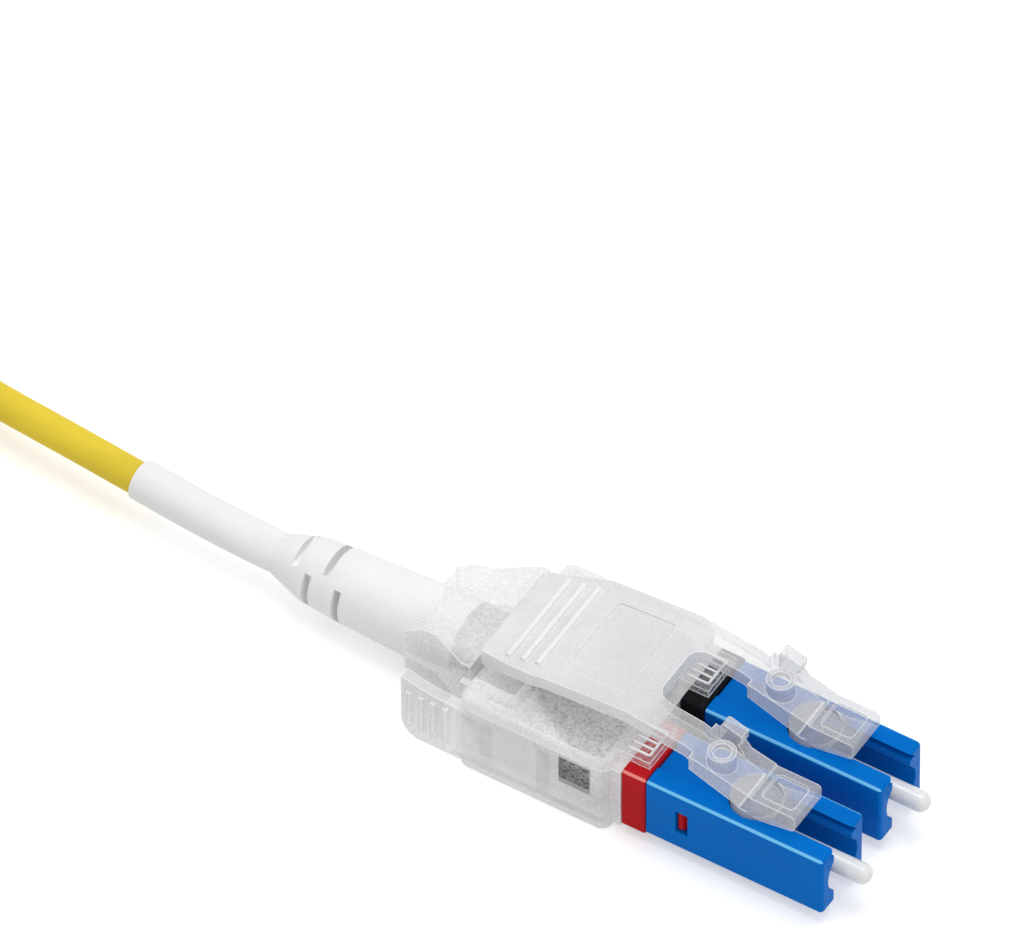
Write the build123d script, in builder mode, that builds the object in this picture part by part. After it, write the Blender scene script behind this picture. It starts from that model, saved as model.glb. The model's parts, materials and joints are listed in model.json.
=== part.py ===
from build123d import *
import math
import os

os.makedirs("parts", exist_ok=True)

# Duplex fibre connector on a 2 mm cord. X runs towards the mating end, Y across the two plugs and
# Z up. The origin is the centre of the housing's flat underside. Lengths are in millimetres.

# Plug interface
plug_pitch = 6.25
plug_size = 4.42
plug_length = 11.5
plug_rounding = 0.3
front_rounding = 0.25
axis_height = 2.9
ferrule_diameter = 1.25
ferrule_reach = 1.85
running_gap = 0.05

# Inside of a plug shell
slot_width = 1.9
slot_chamfer = 0.5
front_bore = 3.1
bulkhead_thickness = 1.2
cavity_size = 3.5
front_depth = 5.4
top_groove_depth = 0.2
window_setback = 1.9
window_length = 0.8
window_height = 1.65
foot_setback = 5.6
foot_diameter = 3.0
foot_depth = 0.25
foot_drop = 0.25
foot_gap = 0.1

# Rear bodies with their collars
collar_size = 4.6
collar_length = 1.5
nose_length = 3.2
nose_bore = 2.9
tail_size = 3.2
tail_length = 3.3
hook_length = 0.6
hook_height = 1.4
hook_reach = 0.35
spring_seat_depth = 1.1

# Ferrule, holder and spring
holder_across = 2.7
flange_length = 1.6
holder_tail_diameter = 1.6
holder_tail_length = 1.2
holder_grip = 1.0
spring_radius = 1.08
spring_wire = 0.3
spring_turns = 4

# Fibres and cable
fibre_diameter = 0.9
fibre_bend = 0.8
fibre_fit = 0.98
cable_diameter = 2.0

# Housing
shell_length = 9.8
shell_corner = 0.65
shell_wall = 0.8
yoke_cheek = 0.375
shell_width = plug_pitch + tail_size + 2 * (2 * running_gap + yoke_cheek + shell_wall)
shell_floor = 0.8
parting_height = 5.0
roof_thickness = 0.8
roof_rounding = 0.3
foot_rounding = 0.3
rim_length = 0.6
rim_inset = 0.55
neck_length = 5.4
neck_width = 5.9
neck_taper = 0.95
neck_rounding = 2.1
neck_rise = 3.0
neck_drop = 2.75
neck_slope = 1.3
recess_length = 2.75
shoulder_width = 8.5
shoulder_length = 1.6
hood_rise = 0.65
hood_gap = 0.2
wing_length = 3.65
wing_thickness = 0.7
wing_height = 4.7
wing_corner = 1.3
wing_root = 1.2
wing_dip = 0.25
rib_width = 0.32
rib_depth = 0.2
rib_height = 2.82
rib_count = 4
tab_length = 2.0
tab_width = 3.0
tab_thickness = 0.5

# Latch cover
arm_width = 2.05
plate_width = plug_pitch + arm_width
plate_rounding = 0.35
plate_rear_width = 6.9
plate_flare = 3.8
plate_edge = 1.1
plate_lift = 0.3
plate_bend = 2.2
bend_rise = 1.8
bend_thickness = 0.95
crest_rise = 2.85
crest_thickness = 0.9
second_bend = 4.5
second_rise = 2.4
plate_thickness = 0.85
bend_rounding = 3.5
end_rounding = 0.25
arm_reach = 4.5
arm_turn = 0.5
arm_dip = 0.55
arm_drop = 0.75
arm_thickness = 1.05
heel_rise = 0.35
toe_start = 1.0
foot_rise = 0.45
block_setback = 0.4
block_length = 2.9
block_height = 1.65
block_lift = 0.55
head_width = 2.9
gap_setback = 0.9
gap_rounding = 0.9
ear_width = 0.75
ear_length = 1.4
ear_height = 2.1
button_diameter = 1.7
button_height = 0.3
dimple_diameter = 1.05
press_gap = 0.1
panel_depth = 0.15
panel_width = 5.81
panel_share = 0.72
grip_radius = 0.22
grip_share = 0.95
grip_count = 3
grip_start = 1.8
grip_pitch = 0.975

# Yoke, crimp ring and boot
yoke_wall = 0.8
yoke_half_height = 2.05
yoke_tail_length = 2.7
yoke_tail_width = 3.9
yoke_tail_height = 3.1
spigot_diameter = 2.0
spigot_bore = 1.2
crimp_outer = 2.8
crimp_inner = 2.1
crimp_length = 3.6
boot_diameter = 4.75
boot_waist = 4.2
boot_crown = 0.02
waist_taper = 0.15
taper_step = 0.03
boot_length = 22.05
boot_neck = 2.45
boot_bend = 6.2
waist_start = 8.15
waist_end = 10.25
taper_end = 12.45
slit_width = 0.45
slit_pitch = 1.03
slit_span = 2.6
slit_core = 0.15
bore_gap = 0.06

# Route of the cord past the boot, and the hank that it is put away in
tail_angle = 5.5
hank_front = -46.0
hank_straight = 35.0
hank_inner = 5.0
hank_layers = 4
tie_width = 8.0
tie_thickness = 0.4
tie_rounding = 0.6
far_gap = 10.6

# Places along X
collar_rear = shell_length / 2 + rim_length + running_gap
plug_rear = collar_rear + collar_length + running_gap
plug_front = plug_rear + plug_length
bulkhead_front = plug_front - front_depth
bulkhead_rear = bulkhead_front - bulkhead_thickness
ferrule_tip = plug_front + ferrule_reach
holder_rear = bulkhead_rear - flange_length - holder_tail_length
ferrule_rear = bulkhead_rear - holder_grip
nose_front = plug_rear + nose_length
spring_seat = plug_rear - spring_seat_depth
tail_rear = shell_length / 2 - tail_length
shell_front = shell_length / 2
shell_rear = -shell_length / 2
neck_rear = shell_rear - neck_length
foot_x = plug_front - foot_setback
yoke_tail = shell_rear - yoke_tail_length
spigot_rear = yoke_tail - crimp_length
boot_front = yoke_tail - 3 * running_gap
boot_rear = boot_front - boot_length

# Places along Z
plug_top = axis_height + plug_size / 2
roof_top = parting_height + roof_thickness
neck_top = axis_height + neck_rise
recess_end = shell_rear + recess_length
recess_width = plate_width + 3 * press_gap
recess_wall = shell_wall / 2
recess_floor = parting_height - press_gap / 4
recess_underside = recess_floor - recess_wall
hood_front = shell_rear - hood_gap

PLUGS = (("a", -1), ("b", 1))

# The near connector's finished pieces, copied to the cord's far end at the bottom
CONNECTOR = []


def section(x):
    """A plane across the connector at x, with Y and Z as its own axes."""
    return Plane.YZ.offset(x)


def finish(piece, name):
    """Label a finished piece and write it."""
    piece.part.label = name
    export_step(piece.part, f"parts/{name}.step")
    if not name.startswith(("far_", "cable", "hank")):
        CONNECTOR.append((name, piece.part))


# Blue plug shells: square tubes whose front ends are two prongs round the ferrule
def make_plug_shell(y):
    with BuildPart() as shell:
        with BuildSketch(section(plug_rear)):
            with Locations((y, axis_height)):
                RectangleRounded(plug_size, plug_size, plug_rounding)
        extrude(amount=plug_length)
        fillet(shell.faces().sort_by(Axis.X)[-1].edges(), radius=front_rounding)
        with BuildSketch(section(plug_rear)):
            with Locations((y, axis_height)):
                Rectangle(cavity_size, cavity_size)
        extrude(amount=bulkhead_rear - plug_rear, mode=Mode.SUBTRACT)
        with BuildSketch(section(bulkhead_rear)):
            with Locations((y, axis_height)):
                Circle(ferrule_diameter / 2 + running_gap)
        extrude(amount=bulkhead_thickness, mode=Mode.SUBTRACT)
        with BuildSketch(section(bulkhead_front)):
            with Locations((y, axis_height)):
                Circle(front_bore / 2)
                Rectangle(slot_width, plug_size)
        extrude(amount=front_depth, mode=Mode.SUBTRACT)
        # The prongs' inner top edges slope into the slot
        with BuildSketch(section(bulkhead_front)):
            with Locations((y, plug_top)):
                Trapezoid(
                    slot_width + 2 * slot_chamfer,
                    slot_chamfer * 2,
                    135,
                    rotation=180,
                )
        extrude(amount=front_depth, mode=Mode.SUBTRACT)
        # Shallow groove along the top to the rear end
        with BuildSketch(section(plug_rear)):
            with Locations((y, plug_top)):
                Rectangle(slot_width, 2 * top_groove_depth)
        extrude(amount=plug_length, mode=Mode.SUBTRACT)
        # Round pocket that takes the latch's foot
        with BuildSketch(Plane.XY.offset(plug_top)):
            with Locations((foot_x, y)):
                Circle(foot_diameter / 2 + foot_gap)
        extrude(amount=-(foot_depth + foot_drop), mode=Mode.SUBTRACT)
        # Windows that take the rear body's hooks
        with Locations((plug_rear + window_setback + window_length / 2, y, axis_height)):
            Box(window_length, 2 * plug_size, window_height, mode=Mode.SUBTRACT)
    return shell


for end, side in PLUGS:
    plug_shell = make_plug_shell(side * plug_pitch / 2)
    finish(plug_shell, f"plug_shell_{end}")


# Rear bodies: a collar outside the housing, a nose in the plug shell and a tail in the yoke
def make_rear_body(y):
    nose_size = cavity_size - 2 * running_gap
    hook_rear = plug_rear + window_setback + (window_length - hook_length) / 2
    with BuildPart() as body:
        with BuildSketch(section(collar_rear)):
            with Locations((y, axis_height)):
                RectangleRounded(collar_size, collar_size, plug_rounding)
        extrude(amount=collar_length)
        fillet(body.faces().sort_by(Axis.X)[-1].edges(), radius=plug_rounding / 3)
        with BuildSketch(section(tail_rear)):
            with Locations((y, axis_height)):
                Rectangle(tail_size, tail_size)
        extrude(amount=collar_rear + collar_length / 2 - tail_rear)
        with BuildSketch(section(collar_rear + collar_length / 2)):
            with Locations((y, axis_height)):
                Rectangle(nose_size, nose_size)
        extrude(amount=nose_front - collar_rear - collar_length / 2)
        # Sprung hooks on both sides of the nose
        with BuildSketch(Plane.XY.offset(axis_height - hook_height / 2)):
            for flank in (-1, 1):
                with BuildLine():
                    Polyline(
                        (hook_rear, y + flank * nose_size / 4),
                        (hook_rear, y + flank * (nose_size / 2 + hook_reach)),
                        (hook_rear + hook_length / 2, y + flank * (nose_size / 2 + hook_reach)),
                        (hook_rear + hook_length, y + flank * nose_size / 2),
                        (hook_rear + hook_length, y + flank * nose_size / 4),
                        close=True,
                    )
                make_face()
        extrude(amount=hook_height)
        with BuildSketch(section(spring_seat)):
            with Locations((y, axis_height)):
                Circle(nose_bore / 2)
        extrude(amount=nose_front - spring_seat, mode=Mode.SUBTRACT)
        with BuildSketch(section(tail_rear)):
            with Locations((y, axis_height)):
                Circle(fibre_diameter / 2 + running_gap)
        extrude(amount=spring_seat - tail_rear, mode=Mode.SUBTRACT)
    return body


for end, side in PLUGS:
    rear_body = make_rear_body(side * plug_pitch / 2)
    finish(rear_body, f"rear_body_{end}")


# Ferrule holders: a hexagonal flange against the bulkhead, with a tube inside the spring
def make_ferrule_holder(y):
    with BuildPart() as holder:
        with BuildSketch(section(bulkhead_rear - flange_length)):
            with Locations((y, axis_height)):
                RegularPolygon(holder_across / 2, 6)
        extrude(amount=flange_length)
        with BuildSketch(section(holder_rear)):
            with Locations((y, axis_height)):
                Circle(holder_tail_diameter / 2)
        extrude(amount=holder_tail_length)
        with BuildSketch(section(ferrule_rear)):
            with Locations((y, axis_height)):
                Circle(ferrule_diameter / 2)
        extrude(amount=holder_grip, mode=Mode.SUBTRACT)
        with BuildSketch(section(holder_rear)):
            with Locations((y, axis_height)):
                Circle(fibre_diameter / 2 + running_gap)
        extrude(amount=ferrule_rear - holder_rear, mode=Mode.SUBTRACT)
    return holder


for end, side in PLUGS:
    ferrule_holder = make_ferrule_holder(side * plug_pitch / 2)
    finish(ferrule_holder, f"ferrule_holder_{end}")


# Ferrules: ground rods with a domed end and a small lead-in at the back
def make_ferrule(y):
    with BuildPart() as rod:
        with BuildSketch(section(ferrule_rear)):
            with Locations((y, axis_height)):
                Circle(ferrule_diameter / 2)
        extrude(amount=ferrule_tip - ferrule_rear)
        ends = rod.edges().filter_by(GeomType.CIRCLE).sort_by(Axis.X)
        chamfer(ends[0], length=ferrule_diameter / 12)
        tip = rod.edges().filter_by(GeomType.CIRCLE).sort_by(Axis.X)[-1]
        fillet(tip, radius=ferrule_diameter * 0.46)
    return rod


for end, side in PLUGS:
    ferrule = make_ferrule(side * plug_pitch / 2)
    finish(ferrule, f"ferrule_{end}")


# Springs that push the holders forward
for end, side in PLUGS:
    y = side * plug_pitch / 2
    space = bulkhead_rear - flange_length - spring_seat
    coil_height = space - spring_wire - 2 * running_gap
    start = spring_seat + spring_wire / 2 + running_gap
    with BuildPart() as spring:
        with BuildLine() as coil:
            Helix(
                pitch=coil_height / spring_turns,
                height=coil_height,
                radius=spring_radius,
                center=(start, y, axis_height),
                direction=(1, 0, 0),
            )
        path = coil.line
        with BuildSketch(Plane(origin=path @ 0, z_dir=path % 0)):
            RegularPolygon(spring_wire / 2, 6)
        sweep(path=path, is_frenet=True)
    finish(spring, f"spring_{end}")


# Inner yoke: splits the cable into the two plugs and holds the tails of the rear bodies
yoke_front = shell_front - shell_wall - running_gap
yoke_half_width = shell_width / 2 - shell_wall - running_gap
yoke_bend = tail_rear
yoke_step = recess_end - running_gap * 5
chamber_front = tail_rear + running_gap
chamber_rear = yoke_step + yoke_wall / 2
chamber_bend = tail_rear - yoke_wall
with BuildPart() as inner_yoke:
    with BuildSketch(Plane.XY.offset(axis_height - yoke_half_height)) as yoke_plan:
        with BuildLine():
            Polyline(
                (yoke_front, -yoke_half_width),
                (yoke_front, yoke_half_width),
                (yoke_bend, yoke_half_width),
                (yoke_step, yoke_half_width / 2),
                (yoke_step, -yoke_half_width / 2),
                (yoke_bend, -yoke_half_width),
                close=True,
            )
        make_face()
        fillet(yoke_plan.vertices().group_by(Axis.X)[-1], radius=shell_corner * 0.6)
    extrude(amount=2 * yoke_half_height)
    # Step under the sunk part of the roof
    with Locations((recess_end - shell_wall, 0, axis_height + yoke_half_height)):
        Box(
            2 * (shell_wall + recess_wall + running_gap),
            shell_width,
            2 * (axis_height + yoke_half_height - recess_underside + running_gap),
            mode=Mode.SUBTRACT,
        )
    # Tail block in the housing's neck, with the spigot for the crimp ring behind it
    with BuildSketch(section(yoke_tail)):
        with Locations((0, axis_height)):
            RectangleRounded(yoke_tail_width, yoke_tail_height, yoke_wall / 2)
    extrude(amount=yoke_step - yoke_tail)
    with BuildSketch(section(spigot_rear)):
        with Locations((0, axis_height)):
            Circle(spigot_diameter / 2)
    extrude(amount=yoke_tail - spigot_rear + yoke_wall)
    # Chamber that the fibres spread out in
    with BuildSketch(Plane.XY.offset(axis_height - fibre_diameter)):
        with BuildLine():
            Polyline(
                (chamber_front, -yoke_half_width + yoke_wall),
                (chamber_front, yoke_half_width - yoke_wall),
                (chamber_bend, yoke_half_width - yoke_wall * 1.3),
                (chamber_rear, fibre_diameter * 1.2),
                (chamber_rear, -fibre_diameter * 1.2),
                (chamber_bend, -yoke_half_width + yoke_wall * 1.3),
                close=True,
            )
        make_face()
    extrude(amount=2 * fibre_diameter, mode=Mode.SUBTRACT)
    with BuildSketch(section(spigot_rear)):
        with Locations((0, axis_height)):
            Circle(spigot_bore / 2)
    extrude(amount=chamber_front - spigot_rear - yoke_wall, mode=Mode.SUBTRACT)
    # Square sockets for the tails of the rear bodies
    with BuildSketch(section(tail_rear - running_gap)):
        with Locations((-plug_pitch / 2, axis_height), (plug_pitch / 2, axis_height)):
            Rectangle(tail_size + 2 * running_gap, tail_size + 2 * running_gap)
    extrude(amount=tail_length + 2 * running_gap, mode=Mode.SUBTRACT)
finish(inner_yoke, "inner_yoke")


# Crimp ring on the yoke's spigot
with BuildPart() as crimp_ring:
    with BuildSketch(section(spigot_rear)):
        with Locations((0, axis_height)):
            Circle(crimp_outer / 2)
            Circle(crimp_inner / 2, mode=Mode.SUBTRACT)
    extrude(amount=crimp_length - running_gap)
    chamfer(
        crimp_ring.edges().filter_by(GeomType.CIRCLE).sort_by(SortBy.RADIUS)[-2:],
        length=(crimp_outer - crimp_inner) / 6,
    )
finish(crimp_ring, "crimp_ring")


# Buffered fibres from the cable to the backs of the ferrules
for end, side in PLUGS:
    y = side * plug_pitch / 2
    with BuildPart() as fibre:
        with BuildLine() as route:
            FilletPolyline(
                (chamber_rear + running_gap, side * fibre_diameter * 0.56, axis_height),
                (chamber_rear + yoke_wall, side * fibre_diameter * 0.66, axis_height),
                (chamber_bend + running_gap * 2, y, axis_height),
                (holder_rear + running_gap * 4, y, axis_height),
                radius=fibre_bend,
            )
        with BuildSketch(Plane(origin=route.line @ 0, z_dir=route.line % 0)):
            Circle(fibre_diameter / 2 * fibre_fit)
        sweep(path=route.line)
    finish(fibre, f"fibre_{end}")


# Plan of the shoulders and neck behind the housing
def neck_plan(z):
    with BuildSketch(Plane.XY.offset(z)) as plan:
        with BuildLine():
            Polyline(
                (shell_rear, -shoulder_width / 2),
                (shell_rear, shoulder_width / 2),
                (shell_rear - shoulder_length / 2, shoulder_width / 2),
                (shell_rear - 2 * shoulder_length, neck_width / 2),
                (neck_rear, neck_width / 2 * neck_taper),
                (neck_rear, -neck_width / 2 * neck_taper),
                (shell_rear - 2 * shoulder_length, -neck_width / 2),
                (shell_rear - shoulder_length / 2, -shoulder_width / 2),
                close=True,
            )
        make_face()
    return plan.sketch


# Lower shell: an open tray with grip wings, and the lower half of the neck
wing_foot = foot_rounding * 2
with BuildPart() as lower_shell:
    with BuildSketch(Plane.XY):
        RectangleRounded(shell_length, shell_width, shell_corner)
    extrude(amount=parting_height)
    fillet(lower_shell.faces().sort_by(Axis.Z)[0].edges(), radius=foot_rounding)
    with BuildPart(mode=Mode.PRIVATE) as lower_neck:
        extrude(neck_plan(axis_height - neck_drop), amount=neck_drop)
        neck_edges = lower_neck.faces().sort_by(Axis.Z)[0].edges()
        neck_sides = neck_edges.filter_by_position(Axis.X, neck_rear + 0.1, shell_rear - 0.1)
        fillet(neck_sides, radius=neck_rounding)
    add(lower_neck.part)
    with BuildSketch(Plane.XY.offset(shell_floor)):
        RectangleRounded(
            shell_length - 2 * shell_wall, shell_width - 2 * shell_wall, shell_corner / 2
        )
    extrude(amount=parting_height, mode=Mode.SUBTRACT)
    # Rim round the front opening, with the sockets for the rear bodies
    with BuildSketch(section(shell_front)):
        with Locations((0, (rim_inset + parting_height) / 2)):
            Rectangle(shell_width - 2 * rim_inset, parting_height - rim_inset)
    extrude(amount=rim_length)
    with BuildSketch(section(shell_front - 2 * shell_wall)):
        with Locations((-plug_pitch / 2, axis_height), (plug_pitch / 2, axis_height)):
            Rectangle(tail_size + 2 * running_gap, tail_size + 2 * running_gap)
    extrude(amount=3 * shell_wall, mode=Mode.SUBTRACT)
    # Bore for the boot, and a way through the rear wall
    with BuildSketch(section(neck_rear - 1)):
        with Locations((0, axis_height)):
            Circle(boot_diameter / 2 + bore_gap)
    extrude(amount=boot_front + running_gap - neck_rear + 1, mode=Mode.SUBTRACT)
    with BuildSketch(section(yoke_tail - 2 * running_gap)) as tail_pocket:
        with Locations((0, axis_height)):
            RectangleRounded(
                yoke_tail_width + 2 * running_gap,
                yoke_tail_height + 2 * running_gap,
                yoke_wall / 2 + running_gap,
            )
    extrude(amount=yoke_tail_length + 2 * shell_wall, mode=Mode.SUBTRACT)
    # Notch in the rear wall for the sunk part of the roof
    with Locations((shell_rear, 0, parting_height)):
        Box(
            4 * shell_wall,
            recess_width + 2 * recess_wall + 2 * running_gap,
            2 * (parting_height - recess_underside + running_gap),
            mode=Mode.SUBTRACT,
        )
    # Grip wing that stands back from the wall on plug a's side, with a dipped top edge
    wing_rear = shell_rear - wing_length
    wing_tip = (wing_rear, wing_foot + wing_height)
    wing_end = (shell_rear + wing_root, parting_height - running_gap * 4)
    with BuildSketch(Plane.XZ.offset(shell_width / 2)) as wing:
        with BuildLine():
            Polyline(wing_end, (wing_end[0], wing_foot), (wing_rear, wing_foot), wing_tip)
            ThreePointArc(
                wing_tip,
                (
                    (wing_tip[0] + wing_end[0]) / 2,
                    (wing_tip[1] + wing_end[1]) / 2 - wing_dip,
                ),
                wing_end,
            )
        make_face()
        corner = wing.vertices().group_by(Axis.X)[0].sort_by(Axis.Y)[0]
        fillet(corner, radius=wing_corner)
    extrude(amount=-wing_thickness)
    for k in range(rib_count):
        rib_x = wing_rear + (k + 0.7) * wing_length / (rib_count + 0.6)
        with Locations((rib_x, -shell_width / 2, wing_foot + wing_height / 2)):
            Box(rib_width, 2 * rib_depth, rib_height)
finish(lower_shell, "lower_shell")


# Upper shell: the roof with a recess under the press plate, the hood, and the neck's upper half
with BuildPart() as upper_shell:
    with BuildSketch(Plane.XY.offset(parting_height)):
        RectangleRounded(shell_length, shell_width, shell_corner)
    extrude(amount=roof_thickness)
    fillet(upper_shell.faces().sort_by(Axis.Z)[-1].edges(), radius=roof_rounding)
    # Tabs over the two collars
    with BuildSketch(Plane.XY.offset(roof_top - tab_thickness)):
        with Locations((shell_front, -plug_pitch / 2), (shell_front, plug_pitch / 2)):
            Rectangle(2 * tab_length, tab_width)
    extrude(amount=tab_thickness)
    # Sunk floor under the rear edge of the latch cover
    with BuildSketch(Plane.XY.offset(recess_underside)):
        with Locations(((hood_front - recess_wall + recess_end + recess_wall) / 2, 0)):
            Rectangle(
                recess_end - hood_front + 2 * recess_wall, recess_width + 2 * recess_wall
            )
    extrude(amount=parting_height + roof_thickness / 2 - recess_underside)
    with BuildSketch(Plane.XY.offset(recess_floor)):
        with Locations(((hood_front - recess_wall + recess_end) / 2, 0)):
            Rectangle(recess_end - hood_front + recess_wall, recess_width)
    extrude(amount=roof_thickness * 2, mode=Mode.SUBTRACT)
    # Neck and hood
    with BuildPart(mode=Mode.PRIVATE) as hood:
        with BuildSketch(Plane.XZ):
            with BuildLine():
                Polyline(
                    (hood_front, axis_height),
                    (hood_front, roof_top + hood_rise),
                    (neck_rear + neck_slope, neck_top),
                    (neck_rear, neck_top - neck_slope * 0.7),
                    (neck_rear, axis_height),
                    close=True,
                )
            make_face()
        extrude(amount=shoulder_width / 2, both=True)
        extrude(neck_plan(axis_height), amount=shell_width, mode=Mode.INTERSECT)
    add(hood.part)
    with BuildSketch(section(neck_rear - 1)):
        with Locations((0, axis_height)):
            Circle(boot_diameter / 2 + bore_gap)
    extrude(amount=boot_front + running_gap - neck_rear + 1, mode=Mode.SUBTRACT)
    extrude(tail_pocket.sketch, amount=yoke_tail_length + 2 * shell_wall, mode=Mode.SUBTRACT)
finish(upper_shell, "upper_shell")


# Latch cover: one clear piece with a press plate at the back and two arms to the plugs
plate_rear = shell_rear - press_gap
crest_x = shell_front
crest_z = roof_top + crest_rise
arm_x = shell_front + arm_reach
block_x = foot_x + block_setback
block_front = block_x + block_length
block_top = plug_top + block_height
cover_top = (
    (plate_rear, roof_top + plate_lift + plate_edge),
    (plate_rear + plate_bend, roof_top + bend_rise),
    (plate_rear + second_bend, roof_top + second_rise),
    (crest_x, crest_z),
    (arm_x - arm_turn, crest_z - arm_dip),
    (arm_x, crest_z - arm_drop),
    (block_x, block_top + press_gap),
    (block_x, block_top),
    (block_front, block_top),
)
cover_bottom = (
    (block_front, plug_top + block_lift),
    (foot_x + toe_start, plug_top + press_gap),
    (foot_x, plug_top + heel_rise),
    (arm_x, crest_z - arm_drop - arm_thickness),
    (arm_x - arm_turn, crest_z - arm_dip - crest_thickness),
    (crest_x, crest_z - crest_thickness),
    (plate_rear + second_bend, roof_top + second_rise - plate_thickness),
    (plate_rear + plate_bend, roof_top + bend_rise - bend_thickness),
    (plate_rear, roof_top + plate_lift),
)


def plate_height(reach):
    """Height of the press plate's top over the roof, at a reach from its rear edge."""
    rear_rise = plate_lift + plate_edge
    if reach < plate_bend:
        return rear_rise + (bend_rise - rear_rise) * reach / plate_bend
    return bend_rise + (second_rise - bend_rise) * (reach - plate_bend) / (second_bend - plate_bend)


with BuildPart() as latch_cover:
    with BuildSketch(Plane.XZ) as cover_side:
        with BuildLine():
            Polyline(*cover_top, *cover_bottom, close=True)
        make_face()
        bends = cover_side.vertices().filter_by_position(
            Axis.X, plate_rear + second_bend - arm_turn, crest_x + arm_turn
        )
        fillet(bends, radius=bend_rounding)
        ends = cover_side.vertices().group_by(Axis.X)
        fillet(ends[0] + ends[-1], radius=end_rounding)
    extrude(amount=shell_width / 2, both=True)
    with BuildSketch(Plane.XY) as cover_plan:
        with BuildLine():
            Polyline(
                (plate_rear, plate_rear_width / 2),
                (plate_rear + plate_flare, plate_width / 2),
                (arm_x, plate_width / 2),
                (arm_x, -plate_width / 2),
                (plate_rear + plate_flare, -plate_width / 2),
                (plate_rear, -plate_rear_width / 2),
                close=True,
            )
        make_face()
        fillet(cover_plan.vertices().group_by(Axis.X)[0], radius=plate_rounding)
        gap_start = crest_x + gap_setback
        gap_end = block_front + gap_rounding + press_gap
        with Locations(((gap_start + gap_end) / 2, 0)):
            RectangleRounded(
                gap_end - gap_start, plug_pitch - arm_width, gap_rounding, mode=Mode.SUBTRACT
            )
        for _, side in PLUGS:
            with Locations(((arm_x + block_front) / 2, side * plug_pitch / 2)):
                Rectangle(block_front - arm_x, head_width)
    extrude(amount=2 * crest_z, mode=Mode.INTERSECT)
    # Upright ear on one side of each arm, and a round button with a dimple on the other
    ear_x = arm_x + ear_width
    ear_foot = crest_z - arm_dip - ear_height / 2
    ear_top = ear_foot + ear_height
    for _, side in PLUGS:
        ear_y = side * plug_pitch / 2 + (head_width - ear_width) / 2
        button_y = side * plug_pitch / 2 - (head_width - button_diameter) / 2 + press_gap
        with BuildSketch(Plane.XZ.offset(-ear_y)) as ear:
            with BuildLine():
                Polyline(
                    (ear_x, ear_foot),
                    (ear_x, ear_top),
                    (ear_x + ear_length, ear_top - ear_length * 0.35),
                    (ear_x + ear_length, ear_top - ear_height * 0.5),
                    (ear_x + ear_length * 0.8, ear_top - ear_height * 0.6),
                    (ear_x + ear_length * 1.3, ear_foot),
                    close=True,
                )
            make_face()
            fillet(ear.vertices().group_by(Axis.Y)[-1], radius=ear_width / 3)
        extrude(amount=ear_width / 2, both=True)
        with BuildSketch(Plane.XY.offset(ear_foot)):
            with Locations((ear_x + button_diameter / 2, button_y)):
                Circle(button_diameter / 2)
        extrude(amount=ear_height / 2 + button_height)
        with BuildSketch(Plane.XY.offset(ear_foot + ear_height / 2 + button_height)):
            with Locations((ear_x + button_diameter / 2, button_y)):
                Circle(dimple_diameter / 2)
        extrude(amount=-button_height, mode=Mode.SUBTRACT)
    # Round feet in the plugs' pockets
    with BuildSketch(Plane.XY.offset(plug_top - foot_depth)):
        with Locations((foot_x, -plug_pitch / 2), (foot_x, plug_pitch / 2)):
            Circle(foot_diameter / 2)
    extrude(amount=foot_depth + foot_rise)
    # Grip ribs across the press plate
    for k in range(grip_count):
        reach = grip_start + k * grip_pitch
        with Locations((plate_rear + reach, 0, roof_top + plate_height(reach))):
            Cylinder(grip_radius, plate_rear_width * grip_share, rotation=(90, 0, 0))
    # Shallow bare panel on the crest
    rise = crest_rise - second_rise
    run = crest_x - plate_rear - second_bend
    slope = math.atan2(rise, run)
    panel_plane = Plane(
        origin=(crest_x - run / 2, 0, crest_z - rise / 2),
        x_dir=(math.cos(slope), 0, math.sin(slope)),
        z_dir=(-math.sin(slope), 0, math.cos(slope)),
    )
    with BuildSketch(panel_plane):
        RectangleRounded(run * panel_share, panel_width, gap_rounding / 3)
    extrude(amount=-panel_depth, mode=Mode.SUBTRACT)
    # Shallow pockets on the front blocks
    with BuildSketch(Plane.XY.offset(block_top)):
        for _, side in PLUGS:
            with Locations(((block_x + block_front) / 2, side * plug_pitch / 2)):
                RectangleRounded(
                    (block_front - block_x) * panel_share, slot_width, gap_rounding / 3
                )
    extrude(amount=-panel_depth, mode=Mode.SUBTRACT)
finish(latch_cover, "latch_cover")


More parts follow.
